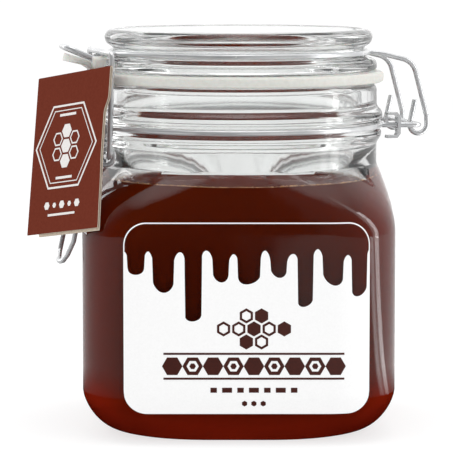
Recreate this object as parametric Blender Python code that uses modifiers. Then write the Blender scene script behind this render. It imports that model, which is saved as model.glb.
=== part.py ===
"""Square clip-top glass jar of honey, shut, with a wrap label and a folded card tag.

The frame: origin on the jar's axis at its base, +Z up, label face toward -Y.
The clasp and the hinge lie on one line through the axis, turned AXIS_TURN from X.
"""
import math

import bmesh
import bpy
from mathutils import Matrix, Vector

MM = 0.001
GAP = 0.3 * MM

# Glass body: a rounded square that turns into a round neck
BODY_HALF = 54.6 * MM
BODY_CORNER = 22.0 * MM
FOOT_INSET = 10.8 * MM
HEEL_TOP = 16.5 * MM
HEEL_POWER = 1.5
SHOULDER_LOW = 71.0 * MM
SHOULDER_TOP = 93.5 * MM
NECK_R = 49.5 * MM
BEAD_R = 51.6 * MM
GROOVE_R = 49.7 * MM
LIP_Z = 122.0 * MM
MOUTH_R = 43.5 * MM
WALL = 3.6 * MM
BASE_THICK = 6.0 * MM
FLOOR_ROUND = 11.0 * MM

# Contents and label
HONEY_LEVEL = 87.8 * MM
LABEL_LOW = 10.8 * MM
LABEL_TOP = 77.0 * MM
LABEL_HALF = 42.6 * MM
LABEL_SHIFT = 2.9 * MM
LABEL_CORNER = 8.0 * MM
LABEL_THICK = 0.3 * MM

# Lid and gasket
LID_TOP = 141.3 * MM
LID_GROOVE_R = 45.0 * MM
LID_SEAT = 126.6 * MM
PLUG_R = 41.4 * MM
GASKET_R = 51.9 * MM
GASKET_IN = 43.8 * MM

# Wires
AXIS_TURN = math.radians(13.5)
WIRE_R = 1.0 * MM
ARM_WIRE_R = 0.92 * MM
THIN_WIRE_R = 0.9 * MM
LID_RING_R = LID_GROOVE_R + GAP + WIRE_R
LID_RING_Z = 133.0 * MM
BAND_R = GROOVE_R + GAP + WIRE_R
BAND_Z = 107.2 * MM
HINGE_R = 62.7 * MM
HINGE_Z = 107.0 * MM
HINGE_HALF = 15.0 * MM
HOOK_HALF = 7.0 * MM
HOOK_TIP_R = 63.5 * MM
HOOK_TIP_Z = 135.4 * MM
BAIL_HALF = 20.6 * MM
BAIL_TOP_R = 51.2 * MM
BAIL_LEG_R = 50.2 * MM
BAIL_TOP_Z = 133.7 * MM
BAIL_FOOT_R = 51.2 * MM
PIVOT_R = 52.8 * MM
PIVOT_Z = 106.4 * MM
PIVOT_EYE_T = 12.6 * MM
COIL_R = 51.8 * MM
COIL_Z = 97.4 * MM
COIL_TURN_R = 2.9 * MM
COIL_ADVANCE = 2.1 * MM
LEVER_T = 15.4 * MM
LEVER_TIP_R = 65.4 * MM
LEVER_TIP_Z = 59.4 * MM

# Folded card tag that leans on the bail's near leg: r, t, z of its inner top corner,
# then its direction across and down as shares of r, t and z
TAG_CORNER = (52.1 * MM, 23.9 * MM, 129.4 * MM)
TAG_ACROSS = (0.472, -0.869, -0.149)
TAG_DOWN = (0.119, 0.231, -0.966)
TAG_WIDE = 39.1 * MM
TAG_TALL = 56.5 * MM
TAG_CARD = 0.4 * MM
# How far the tag's inner edge is cut back at each distance down, in mm
TAG_EDGE = ((0.0, -1.2), (10.0, -1.2), (16.5, 0.8), (28.5, 0.8), (43.5, 0.2), (56.5, -0.2))
BACK_DROP = 0.9 * MM
BACK_TAPER = 6.0 * MM

ROUND_STEPS = 48


def clear_scene():
    for item in list(bpy.data.objects):
        bpy.data.objects.remove(item, do_unlink=True)


def collection(name):
    group = bpy.data.collections.new(name)
    bpy.context.scene.collection.children.link(group)
    return group


def material(name, colour, roughness, metallic=0.0, alpha=1.0):
    made = bpy.data.materials.new(name)
    made.use_nodes = True
    shader = made.node_tree.nodes["Principled BSDF"]
    shader.inputs["Base Color"].default_value = (*colour, 1.0)
    shader.inputs["Roughness"].default_value = roughness
    shader.inputs["Metallic"].default_value = metallic
    shader.inputs["Alpha"].default_value = alpha
    made.diffuse_color = (*colour, alpha)
    return made


def mesh_object(name, group, made, verts, faces):
    mesh = bpy.data.meshes.new(name)
    mesh.from_pydata([tuple(v) for v in verts], [], faces)
    mesh.update()
    mesh.materials.append(made)
    thing = bpy.data.objects.new(name, mesh)
    group.objects.link(thing)
    return thing


def clasp(r, t, z):
    """A point on the clasp side: r out from the axis, t sideways toward the label, z up."""
    return Matrix.Rotation(AXIS_TURN, 3, "Z") @ Vector((-r, -t, z))


def hinge(r, t, z):
    """A point on the hinge side, with the same r, t and z."""
    return Matrix.Rotation(AXIS_TURN, 3, "Z") @ Vector((r, t, z))


def bent(corners, radius, closed=False, steps=5):
    """The polyline through corners with each bend turned into an arc of about radius."""
    count = len(corners)
    points = []
    for i, here in enumerate(corners):
        if not closed and i in (0, count - 1):
            points.append(here)
            continue
        back = corners[i - 1] - here
        ahead = corners[(i + 1) % count] - here
        half = back.angle(ahead) / 2
        if half > math.radians(86):
            points.append(here)
            continue
        cut = min(radius / math.tan(half), 0.48 * back.length, 0.48 * ahead.length)
        start = here + back.normalized() * cut
        end = here + ahead.normalized() * cut
        for k in range(steps + 1):
            f = k / steps
            points.append(start * (1 - f) ** 2 + here * 2 * f * (1 - f) + end * f ** 2)
    return points


def wire(name, group, made, points, radius, closed=False):
    curve = bpy.data.curves.new(name, "CURVE")
    curve.dimensions = "3D"
    curve.bevel_depth = radius
    curve.bevel_resolution = 2
    curve.render_resolution_u = 0
    curve.use_fill_caps = True
    spline = curve.splines.new("POLY")
    spline.points.add(len(points) - 1)
    for spot, place in zip(spline.points, points):
        spot.co = (*place, 1.0)
    spline.use_cyclic_u = closed
    spline.use_smooth = True
    curve.materials.append(made)
    thing = bpy.data.objects.new(name, curve)
    group.objects.link(thing)
    return thing


def as_mesh(thing, group):
    """A mesh object that takes the place of a curve or a modified mesh, with its caps welded."""
    graph = bpy.context.evaluated_depsgraph_get()
    mesh = bpy.data.meshes.new_from_object(thing.evaluated_get(graph))
    work = bmesh.new()
    work.from_mesh(mesh)
    bmesh.ops.remove_doubles(work, verts=work.verts, dist=0.00001)
    bmesh.ops.recalc_face_normals(work, faces=work.faces)
    work.to_mesh(mesh)
    work.free()
    name = thing.name
    thing.name = name + "_source"
    solid = bpy.data.objects.new(name, mesh)
    solid.matrix_world = thing.matrix_world.copy()
    group.objects.link(solid)
    bpy.data.objects.remove(thing, do_unlink=True)
    return solid


def fuse(pieces, group):
    """The Boolean union of the pieces, in the first one's name."""
    solids = [as_mesh(piece, group) for piece in pieces]
    base = solids[0]
    for extra in solids[1:]:
        union = base.modifiers.new("union", "BOOLEAN")
        union.operation = "UNION"
        union.solver = "EXACT"
        union.object = extra
        base = as_mesh(base, group)
        bpy.data.objects.remove(extra, do_unlink=True)
    return base


def smooth(thing, degrees=35):
    thing.data.shade_smooth()
    if thing.type == "MESH":
        thing.data.set_sharp_from_angle(angle=math.radians(degrees))
    return thing


def reach(half, corner, angle):
    """Distance from the axis to the edge of a rounded square along an angle."""
    c = abs(math.cos(angle))
    s = abs(math.sin(angle))
    core = half - corner
    straight = half / max(c, s)
    if straight * min(c, s) <= core:
        return straight
    along = core * (c + s)
    return along + math.sqrt(max(0.0, along ** 2 - 2 * core ** 2 + corner ** 2))


def section_angles():
    """Directions of the loft's columns: close together round the corners of the body."""
    core = BODY_HALF - BODY_CORNER
    angles = []
    for quarter in range(4):
        turn = quarter * math.pi / 2
        for k in range(9):
            bend = k / 8 * math.pi / 2
            x = core + BODY_CORNER * math.cos(bend)
            y = core + BODY_CORNER * math.sin(bend)
            angles.append(turn + math.atan2(y, x))
        flat_end = math.atan2(core, BODY_HALF)
        for k in (1, 2, 3):
            angles.append(turn + math.pi / 2 - flat_end * (1 - k / 2))
    return angles


def outer_section(z):
    """Half width and corner radius of the outside of the glass at a height below the neck."""
    if z < HEEL_TOP:
        lift = (HEEL_TOP - z) / HEEL_TOP
        inset = FOOT_INSET * (1 - max(0.0, 1 - lift ** HEEL_POWER) ** (1 / HEEL_POWER))
        return BODY_HALF - inset, BODY_CORNER + inset
    if z > SHOULDER_LOW:
        rise = min(1.0, (SHOULDER_TOP - z) / (SHOULDER_TOP - SHOULDER_LOW))
        ease = math.sin(max(0.0, rise) * math.pi / 2)
        half = NECK_R + (BODY_HALF - NECK_R) * ease
        return half, NECK_R + (BODY_CORNER - NECK_R) * ease
    return BODY_HALF, BODY_CORNER


def inner_section(z):
    """The same for the inside: the outside moved in by the wall, with a round floor edge."""
    half, corner = outer_section(max(z, HEEL_TOP))
    wall = WALL + 1.6 * MM * max(0.0, (z - SHOULDER_LOW) / (SHOULDER_TOP - SHOULDER_LOW))
    low = max(0.0, 1 - (z - BASE_THICK) / FLOOR_ROUND)
    inset = FLOOR_ROUND * (1 - math.sqrt(max(0.0, 1 - low ** 2)))
    return half - wall - inset, max(corner - wall, 8.0 * MM) + 0.3 * inset


def ring(half, corner, z):
    return [Vector((reach(half, corner, a) * math.cos(a), reach(half, corner, a) * math.sin(a), z))
            for a in section_angles()]


def loft(name, group, made, rings):
    """A closed body through rings of equal count, with a flat face on the first and the last."""
    count = len(rings[0])
    verts = [v for row in rings for v in row]
    faces = [tuple(reversed(range(count)))]
    for i in range(len(rings) - 1):
        low = i * count
        for k in range(count):
            after = (k + 1) % count
            faces.append((low + k, low + after, low + count + after, low + count + k))
    faces.append(tuple(range(len(verts) - count, len(verts))))
    return mesh_object(name, group, made, verts, faces)


def turned(name, group, made, profile, steps=ROUND_STEPS):
    """A turned body; its profile runs from the axis down the outer side to the axis."""
    mesh = bpy.data.meshes.new(name)
    edges = [(i, i + 1) for i in range(len(profile) - 1)]
    mesh.from_pydata([(r, 0.0, z) for r, z in profile], edges, [])
    mesh.materials.append(made)
    thing = bpy.data.objects.new(name, mesh)
    group.objects.link(thing)
    screw = thing.modifiers.new("turn", "SCREW")
    screw.axis = "Z"
    screw.angle = 2 * math.pi
    screw.steps = steps
    screw.render_steps = steps
    screw.use_merge_vertices = True
    screw.merge_threshold = 0.00001
    return thing


def steps_between(low, high, count):
    return [low + (high - low) * k / count for k in range(count + 1)]


def build_jar(group, glass):
    """Outside from the foot up to the lip, then the inside down to the floor."""
    rings = []
    for k in range(8):
        z = HEEL_TOP * (1 - math.cos(k / 7 * math.pi / 2))
        rings.append(ring(*outer_section(z), z))
    rings += [ring(*outer_section(z), z) for z in steps_between(SHOULDER_LOW, SHOULDER_TOP, 8)]
    neck = ((NECK_R, 101.0), (BEAD_R - 0.4 * MM, 103.5), (BEAD_R - 0.4 * MM, 105.0), (GROOVE_R, 105.8),
            (GROOVE_R, 108.6), (BEAD_R, 109.4), (BEAD_R, 111.8), (NECK_R, 113.8), (NECK_R, 120.8),
            (NECK_R - 1.2 * MM, 122.0))
    rings += [ring(r, r, z * MM) for r, z in neck]
    mouth = ((MOUTH_R + 1.2 * MM, 122.0), (MOUTH_R, 120.8), (MOUTH_R, 104.0))
    rings += [ring(r, r, z * MM) for r, z in mouth]
    rings += [ring(*inner_section(z), z) for z in reversed(cavity_levels())]
    return smooth(loft("jar_glass", group, glass, rings))


def cavity_levels():
    """Heights of the inside's rings, from the floor up to the neck."""
    levels = [BASE_THICK + FLOOR_ROUND * (1 - math.cos(k / 5 * math.pi / 2)) for k in range(6)]
    return levels + steps_between(SHOULDER_LOW, SHOULDER_TOP, 6)


def build_honey(group, made):
    """Solid honey up to its level, clear of the glass by the gap."""
    levels = cavity_levels()
    rings = []
    for z in levels:
        if z < HONEY_LEVEL:
            half, corner = inner_section(z)
            low = z < SHOULDER_LOW
            rings.append(ring(half - (2 if low else 4) * GAP, corner, z + GAP if low else z))
    above = next(z for z in levels if z > HONEY_LEVEL)
    half, corner = inner_section(above)
    below = rings[-1][0].z
    f = (HONEY_LEVEL - below) / (above - below)
    edge = ring(half - 4 * GAP, corner, above)
    rings.append([low.lerp(high, f) for low, high in zip(rings[-1], edge)])
    return smooth(loft("honey", group, made, rings))


def build_label(group, made):
    """A thin skin over the front of the glass, with round corners, that reaches onto both edges."""
    columns = 16
    rows = []
    for z in [LABEL_LOW + f for f in (0.0, 0.6 * MM, 2.3 * MM, 4.9 * MM, LABEL_CORNER)]:
        rows.append(z)
    rows += steps_between(LABEL_LOW + 14.0 * MM, SHOULDER_LOW, 2)
    rows += [LABEL_TOP - f for f in (LABEL_CORNER, 4.9 * MM, 2.3 * MM, 0.6 * MM, 0.0)]
    verts = []
    for lift in (GAP, GAP + LABEL_THICK):
        for z in rows:
            near = min(z - LABEL_LOW, LABEL_TOP - z, LABEL_CORNER)
            drop = LABEL_CORNER - math.sqrt(max(0.0, LABEL_CORNER ** 2 - (LABEL_CORNER - near) ** 2))
            half, corner = outer_section(z)
            for k in range(columns + 1):
                along = LABEL_SHIFT + (2 * k / columns - 1) * (LABEL_HALF - drop)
                verts.append(on_front(half + lift, corner + lift, along, z))
    wide = columns + 1
    tall = len(rows)
    faces = []
    for side in (0, 1):
        for i in range(tall - 1):
            for k in range(columns):
                a = side * wide * tall + i * wide + k
                quad = (a, a + 1, a + wide + 1, a + wide)
                faces.append(quad if side else tuple(reversed(quad)))
    edge = [k for k in range(wide)] + [i * wide + columns for i in range(1, tall)]
    edge += [(tall - 1) * wide + k for k in range(columns - 1, -1, -1)]
    edge += [i * wide for i in range(tall - 2, 0, -1)]
    for here, after in zip(edge, edge[1:] + edge[:1]):
        faces.append((here, after, after + wide * tall, here + wide * tall))
    return smooth(mesh_object("label", group, made, verts, faces))


def on_front(half, corner, along, z):
    """The point a distance along the section from the middle of the front face."""
    core = half - corner
    side = -1.0 if along < 0 else 1.0
    if abs(along) <= core:
        return Vector((along, -half, z))
    bend = (abs(along) - core) / corner
    return Vector((side * (core + corner * math.sin(bend)), -core - corner * math.cos(bend), z))


def build_lid(group, glass):
    """Dished crown with a round rim, a groove for the wire, a flange and a hollow plug."""
    profile = [(0.0, 137.0), (37.5, 137.0), (40.4, 137.8), (42.4, 139.8), (44.6, LID_TOP / MM)]
    for k in range(1, 6):
        turn = k / 5 * math.pi / 2
        profile.append((44.8 + 3.1 * math.sin(turn), 138.3 + 3.0 * math.cos(turn)))
    profile += [(47.5, 136.6), (46.2, 135.6), (45.0, 134.9), (45.0, 131.9), (46.0, 131.2), (48.4, 130.6),
                (49.5, 129.4), (49.5, 127.4), (48.8, LID_SEAT / MM), (PLUG_R / MM + 1.6, LID_SEAT / MM),
                (PLUG_R / MM, 125.6), (PLUG_R / MM, 120.6), (40.2, 119.4), (37.8, 119.4), (36.6, 120.8),
                (35.8, 127.4), (33.0, 130.4), (27.0, 131.6), (0.0, 131.6)]
    return smooth(turned("lid_glass", group, glass, [(r * MM, z * MM) for r, z in profile]))


def build_gasket(group, rubber):
    """Flat rubber ring with an upturned ear and a tongue under the lid's hook."""
    low = LIP_Z + GAP
    high = LID_SEAT - GAP
    profile = [(GASKET_IN, high), (GASKET_R - 0.8 * MM, high), (GASKET_R, high - 0.8 * MM),
               (GASKET_R, low + 0.8 * MM), (GASKET_R - 0.8 * MM, low), (GASKET_IN, low), (GASKET_IN, high)]
    band = turned("gasket", group, rubber, profile)
    tongue = sweep_flat("tongue", group, rubber,
                        ((49.4, 124.4, 1.1), (52.0, 127.0, 1.1), (56.2, 129.9, 1.2), (63.6, 131.9, 1.4)), -5.5, 5.5)
    ear = sweep_flat("ear", group, rubber,
                     ((49.4, 124.6, 0.7), (51.4, 127.0, 0.9), (52.8, 129.0, 2.2), (52.9, 132.3, 2.4)), 8.7, 13.4)
    return smooth(fuse([band, tongue, ear], group))


def sweep_flat(name, group, made, spine, side_low, side_high):
    """A flat strip along a spine of (r, z, half thickness) on the clasp side, in mm, with its end narrowed."""
    spots = [Vector((r, 0.0, z)) for r, z, half_thick in spine]
    verts = []
    for i, here in enumerate(spots):
        run = (spots[min(i + 1, len(spots) - 1)] - spots[max(i - 1, 0)]).normalized()
        up = Vector((-run.z, 0.0, run.x))
        trim = 0.0 if i < len(spots) - 1 else 0.22 * (side_high - side_low)
        for t, lift in ((side_low + trim, -1), (side_high - trim, -1), (side_high - trim, 1),
                        (side_low + trim, 1)):
            spot = here + up * lift * spine[i][2]
            verts.append(clasp(spot.x * MM, t * MM, spot.z * MM))
    last = 4 * (len(spots) - 1)
    faces = [(0, 1, 2, 3), (last + 3, last + 2, last + 1, last)]
    for i in range(len(spots) - 1):
        for k in range(4):
            after = (k + 1) % 4
            faces.append((4 * i + after, 4 * i + k, 4 * i + 4 + k, 4 * i + 4 + after))
    return mesh_object(name, group, made, verts, faces)


def circle_points(radius, z, count):
    return [Vector((radius * math.cos(2 * math.pi * k / count), radius * math.sin(2 * math.pi * k / count), z))
            for k in range(count)]


def build_lid_wire(group, steel):
    """Ring in the lid's groove, two hinge arms that hook the axle and the hook for the bail."""
    pieces = [wire("lid_wire", group, steel, circle_points(LID_RING_R, LID_RING_Z, 48), WIRE_R, True)]
    for side in (-1, 1):
        t = side * HINGE_HALF
        start = math.sqrt(LID_RING_R ** 2 - t ** 2)
        arm = bent([hinge(start, t, LID_RING_Z), hinge(49.5 * MM, t, 132.3 * MM),
                    hinge(60.6 * MM, t, 129.6 * MM), hinge(HINGE_R + 3.1 * MM, t, HINGE_Z + 3.0 * MM)],
                   7.0 * MM)
        for k in range(9):
            turn = math.radians(5 - 190 * k / 8)
            arm.append(hinge(HINGE_R + 3.2 * MM * math.cos(turn), t, HINGE_Z + 3.2 * MM * math.sin(turn)))
        arm.append(hinge(HINGE_R - 1.4 * MM, t, HINGE_Z + 8.6 * MM))
        pieces.append(wire("arm", group, steel, arm, ARM_WIRE_R))
    half = HOOK_HALF
    start = math.sqrt(LID_RING_R ** 2 - half ** 2)
    side_view = ((start, LID_RING_Z), (48.6 * MM, 132.6 * MM), (51.0 * MM, 131.2 * MM),
                 (53.6 * MM, 131.2 * MM), (HOOK_TIP_R, HOOK_TIP_Z))
    there = [clasp(r, half, z) for r, z in side_view]
    back = [clasp(r, -half, z) for r, z in reversed(side_view)]
    pieces.append(wire("hook", group, steel, bent(there + back, 4.0 * MM), ARM_WIRE_R))
    return smooth(fuse(pieces, group))


def build_neck_band(group, steel):
    """Ring in the neck's groove, the axle loop at the hinge and an eye at each side of the clasp."""
    pieces = [wire("neck_band", group, steel, circle_points(BAND_R, BAND_Z, 48), WIRE_R, True)]
    half = HINGE_HALF + 3.0 * MM
    inner = math.sqrt(BAND_R ** 2 - half ** 2)
    axle = bent([hinge(inner, -half, BAND_Z), hinge(HINGE_R, -half, HINGE_Z), hinge(HINGE_R, half, HINGE_Z),
                 hinge(inner, half, BAND_Z)], 3.0 * MM)
    pieces.append(wire("axle", group, steel, axle, ARM_WIRE_R))
    for side in (-1, 1):
        eye = []
        for k in range(16):
            turn = 2 * math.pi * k / 16
            eye.append(clasp(PIVOT_R + 2.3 * MM * math.cos(turn), side * PIVOT_EYE_T,
                             PIVOT_Z + 2.3 * MM * math.sin(turn)))
        pieces.append(wire("eye", group, steel, eye, THIN_WIRE_R, True))
    return smooth(fuse(pieces, group))


def build_hinge_clip(group, steel, side):
    """Bent strip that holds one leg of the axle loop against the neck."""
    leg = side * (HINGE_HALF + 3.0 * MM)
    path = ((49.9, 111.2), (53.4, 111.2), (54.2, 110.0), (54.2, 104.2), (53.4, 103.0), (49.9, 103.0))
    spots = [Vector((r * MM, 0.0, z * MM)) for r, z in path]
    half_thick = 0.5 * MM
    verts = []
    for i, here in enumerate(spots):
        run = (spots[min(i + 1, len(spots) - 1)] - spots[max(i - 1, 0)]).normalized()
        up = Vector((-run.z, 0.0, run.x))
        for t, lift in ((leg - 2.0 * MM, -1), (leg + 2.0 * MM, -1), (leg + 2.0 * MM, 1), (leg - 2.0 * MM, 1)):
            spot = here + up * lift * half_thick
            verts.append(hinge(spot.x, t, spot.z))
    last = 4 * (len(spots) - 1)
    faces = [(3, 2, 1, 0), (last, last + 1, last + 2, last + 3)]
    for i in range(len(spots) - 1):
        for k in range(4):
            after = (k + 1) % 4
            faces.append((4 * i + k, 4 * i + after, 4 * i + 4 + after, 4 * i + 4 + k))
    name = "hinge_clip_near" if side < 0 else "hinge_clip_far"
    strip = mesh_object(name, group, steel, verts, faces)
    hole = wire("hole", group, steel, [hinge(48.0 * MM, leg, BAND_Z - 0.1 * MM), hinge(HINGE_R, leg, HINGE_Z)],
                WIRE_R + GAP)
    cutter = as_mesh(hole, group)
    cut = strip.modifiers.new("cut", "BOOLEAN")
    cut.operation = "DIFFERENCE"
    cut.solver = "EXACT"
    cut.object = cutter
    done = as_mesh(strip, group)
    bpy.data.objects.remove(cutter, do_unlink=True)
    return smooth(done)


def build_bail(group, steel):
    """U of wire over the lid's hook whose ends turn inward through the lever's coils."""
    corners = []
    for side in (-1, 1):
        leg = [clasp(BAIL_FOOT_R, side * 13.9 * MM, COIL_Z), clasp(BAIL_FOOT_R, side * BAIL_HALF, COIL_Z),
               clasp(BAIL_LEG_R, side * BAIL_HALF, BAIL_TOP_Z), clasp(BAIL_TOP_R, side * 13.0 * MM, BAIL_TOP_Z)]
        corners += leg if side < 0 else list(reversed(leg))
    return smooth(as_mesh(wire("bail", group, steel, bent(corners, 2.6 * MM), WIRE_R), group))


def build_lever(group, steel):
    """Wire loop that turns in the band's eyes; a coil on each side carries the bail's end."""
    half = []
    half.append((PIVOT_R, 10.4 * MM, PIVOT_Z))
    half.append((PIVOT_R, 13.6 * MM, PIVOT_Z))
    half.append((PIVOT_R + 0.3 * MM, LEVER_T - 0.4 * MM, PIVOT_Z - 0.7 * MM))
    half.append((PIVOT_R + 0.7 * MM, LEVER_T, PIVOT_Z - 2.4 * MM))
    turns = 20
    for k in range(turns + 1):
        turn = math.radians(20 - 400 * k / turns)
        half.append((COIL_R + COIL_TURN_R * math.cos(turn), LEVER_T + COIL_ADVANCE * k / turns,
                     COIL_Z + COIL_TURN_R * math.sin(turn)))
    outer = LEVER_T + COIL_ADVANCE
    half.append((57.4 * MM, outer - 0.6 * MM, 88.0 * MM))
    half.append((61.0 * MM, outer - 3.4 * MM, 77.0 * MM))
    half.append((62.2 * MM, 10.4 * MM, 67.4 * MM))
    half.append((63.9 * MM, 7.6 * MM, 62.4 * MM))
    half.append((64.9 * MM, 4.4 * MM, 60.0 * MM))
    half.append((LEVER_TIP_R, 1.2 * MM, LEVER_TIP_Z))
    near = [clasp(r, t, z) for r, t, z in half]
    far = [clasp(r, -t, z) for r, t, z in reversed(half)]
    return smooth(as_mesh(wire("lever", group, steel, near + far, THIN_WIRE_R), group))


def tag_frame():
    """Local X across the tag's top edge, Y toward the viewer of its front, Z up the card."""
    across = clasp(*TAG_ACROSS).normalized()
    down = clasp(*TAG_DOWN)
    down = (down - across * down.dot(across)).normalized()
    front = across.cross(down)
    basis = Matrix((across, front, -down)).transposed().to_4x4()
    return Matrix.Translation(clasp(*TAG_CORNER)) @ basis


def tag_inner_edge(down):
    """How far the tag's inner edge is cut back, clear of the lever's coil, at a distance down."""
    for (high, first), (low, second) in zip(TAG_EDGE, TAG_EDGE[1:]):
        if down <= low * MM:
            return (first + (second - first) * (down / MM - high) / (low - high)) * MM
    return TAG_EDGE[-1][1] * MM


def build_tag(group, card):
    """Card folded over at its top edge; the back leaf hangs a little lower and narrows toward its foot."""
    fold = 0.4 * MM
    downs = [fold] + [down * MM for down, cut in TAG_EDGE[1:-1]] + [TAG_TALL]
    path = [(-2 * fold, TAG_TALL + BACK_DROP)] + [(-2 * fold, d) for d in reversed(downs[:-1])]
    path += [(-fold - fold * math.cos(k * math.pi / 4), fold - fold * math.sin(k * math.pi / 4))
             for k in (1, 2, 3)]
    path += [(0.0, d) for d in downs]
    place = tag_frame()
    verts = []
    for y, d in path:
        outer = TAG_WIDE - BACK_TAPER if d > TAG_TALL else TAG_WIDE
        for x in (tag_inner_edge(d), outer):
            verts.append(place @ Vector((x, y, -d)))
    faces = [(2 * i, 2 * i + 1, 2 * i + 3, 2 * i + 2) for i in range(len(path) - 1)]
    leaf = mesh_object("tag", group, card, verts, faces)
    thick = leaf.modifiers.new("card", "SOLIDIFY")
    thick.thickness = TAG_CARD
    thick.offset = 0.0
    return smooth(leaf)


def main():
    clear_scene()
    group = collection("clip_top_honey_jar")
    glass = material("clear_glass", (0.85, 0.88, 0.87), 0.05, alpha=0.3)
    honey = material("dark_honey", (0.08, 0.008, 0.002), 0.1)
    steel = material("zinc_wire", (0.62, 0.63, 0.64), 0.3, 1.0)
    rubber = material("cream_rubber", (0.83, 0.82, 0.76), 0.6)
    paper = material("label_film", (0.95, 0.95, 0.94), 0.45)
    card = material("brown_card", (0.168, 0.032, 0.021), 0.6)

    build_jar(group, glass)
    build_honey(group, honey)
    build_lid(group, glass)
    build_gasket(group, rubber)
    build_neck_band(group, steel)
    build_hinge_clip(group, steel, -1)
    build_hinge_clip(group, steel, 1)
    build_lid_wire(group, steel)
    build_lever(group, steel)
    build_bail(group, steel)
    build_label(group, paper)
    build_tag(group, card)


main()
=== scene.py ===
"""Looks of the clip-top honey jar: clear glass, honey, wires, label print and card tag."""
import math
import random

import bmesh
import bpy
from mathutils import Matrix, Vector


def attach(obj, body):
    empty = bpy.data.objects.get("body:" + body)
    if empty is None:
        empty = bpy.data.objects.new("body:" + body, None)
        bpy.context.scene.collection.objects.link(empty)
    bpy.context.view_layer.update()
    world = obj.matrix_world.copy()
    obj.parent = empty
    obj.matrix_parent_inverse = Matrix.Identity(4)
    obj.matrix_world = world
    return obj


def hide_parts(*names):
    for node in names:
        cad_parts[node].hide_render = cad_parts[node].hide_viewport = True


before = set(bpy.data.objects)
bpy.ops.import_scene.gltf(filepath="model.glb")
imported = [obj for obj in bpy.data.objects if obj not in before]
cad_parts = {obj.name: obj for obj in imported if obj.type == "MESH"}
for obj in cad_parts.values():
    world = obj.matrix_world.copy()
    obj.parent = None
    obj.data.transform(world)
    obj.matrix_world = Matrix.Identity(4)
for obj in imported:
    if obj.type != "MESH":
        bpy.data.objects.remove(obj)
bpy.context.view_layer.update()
MM = 0.001

# Glass and honey, as in the part
BODY_HALF = 54.6 * MM
BODY_CORNER = 22.0 * MM
FOOT_INSET = 10.8 * MM
HEEL_TOP = 16.5 * MM
HEEL_POWER = 1.5
SHOULDER_LOW = 71.0 * MM
SHOULDER_TOP = 93.5 * MM
NECK_R = 49.5 * MM
BEAD_R = 51.6 * MM
GROOVE_R = 49.7 * MM
MOUTH_R = 43.5 * MM
WALL = 3.6 * MM
BASE_THICK = 6.0 * MM
FLOOR_ROUND = 11.0 * MM
HONEY_LEVEL = 87.8 * MM
INTO_WALL = 0.35 * MM
FROTH_COUNT = 900

# Label, as distances round the front and heights
LABEL_LOW = 10.8 * MM
LABEL_TOP = 77.0 * MM
LABEL_HALF = 42.6 * MM
LABEL_SHIFT = 2.9 * MM
LABEL_CORNER = 8.0 * MM
PRINT_LIFT = 0.35 * MM
# The white outline's width, and the height inside the white field that its two sides start at
LINE_WIDE = 0.42 * MM
LINE_LOW = 55.0 * MM

# Lid and gasket
LID_SEAT = 126.6 * MM
LIP_Z = 122.0 * MM
GASKET_R = 51.9 * MM
GASKET_IN = 43.8 * MM
GAP = 0.3 * MM

# Wires: r out from the axis along the clasp or hinge line, t sideways, z up
AXIS_TURN = math.radians(13.5)
WIRE_R = 1.0 * MM
ARM_WIRE_R = 0.92 * MM
THIN_WIRE_R = 0.9 * MM
LID_RING_R = 46.3 * MM
LID_RING_Z = 133.0 * MM
BAND_R = 51.0 * MM
BAND_Z = 107.2 * MM
HINGE_R = 62.7 * MM
HINGE_Z = 107.0 * MM
HINGE_HALF = 15.0 * MM
HOOK_HALF = 7.0 * MM
HOOK_TIP = (63.5 * MM, 135.4 * MM)
BAIL_HALF = 20.6 * MM
BAIL_TOP_R = 51.2 * MM
BAIL_LEG_R = 50.2 * MM
BAIL_TOP_Z = 133.7 * MM
BAIL_FOOT_R = 51.2 * MM
PIVOT_R = 52.8 * MM
PIVOT_Z = 106.4 * MM
PIVOT_EYE_T = 12.6 * MM
COIL_R = 51.8 * MM
COIL_Z = 97.4 * MM
COIL_TURN_R = 2.9 * MM
COIL_ADVANCE = 2.1 * MM
LEVER_T = 15.4 * MM
LEVER_TIP_R = 65.4 * MM
LEVER_TIP_Z = 59.4 * MM

# Tag
TAG_CORNER = (52.1 * MM, 23.9 * MM, 129.4 * MM)
TAG_ACROSS = (0.472, -0.869, -0.149)
TAG_DOWN = (0.119, 0.231, -0.966)
TAG_WIDE = 39.1 * MM
TAG_TALL = 56.5 * MM
TAG_CARD = 0.4 * MM
# How far the tag's inner edge is cut back at each distance down, in mm
TAG_EDGE = ((0.0, -1.2), (10.0, -1.2), (16.5, 0.8), (28.5, 0.8), (43.5, 0.2), (56.5, -0.2))
# The back leaf hangs this much lower, and its outer edge runs in by this much below a distance down
BACK_DROP = 0.9 * MM
BACK_TAPER = 6.0 * MM
TAPER_FROM = 43.5 * MM
TAG_FOLD = 0.4 * MM

# How bright the room's walls and the floor look in reflections, as bearing and level: bearings are in
# degrees from the camera's side of the jar, positive to the right
ROOM_BEARINGS = ((-180.0, 1.15), (-150.0, 1.10), (-118.0, 0.60), (-78.0, 0.10), (-62.0, 0.03),
                 (1.3, 0.03), (4.0, 0.16), (60.0, 0.26), (76.0, 0.36), (79.0, 2.00), (87.0, 2.00),
                 (89.0, 0.60), (119.0, 0.80), (150.0, 1.10), (180.0, 1.15))
FLOOR_BEARINGS = ((-180.0, 0.80), (-60.0, 0.50), (-37.0, 0.42), (-33.0, 0.03), (1.3, 0.03),
                  (2.0, 0.52), (50.0, 0.50), (68.0, 0.60), (71.0, 3.40), (75.0, 3.40), (78.0, 0.80),
                  (81.0, 5.40), (87.0, 5.40), (90.0, 1.00), (180.0, 0.80))
# The level that both lists are divided by, so that they fit a colour ramp
GLOSS_TOP = 6.0
# The even level above the walls, and the sines of the heights between which the walls give way to it
CEILING = 1.3
WALL_TOP = (0.80, 0.90)
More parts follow.
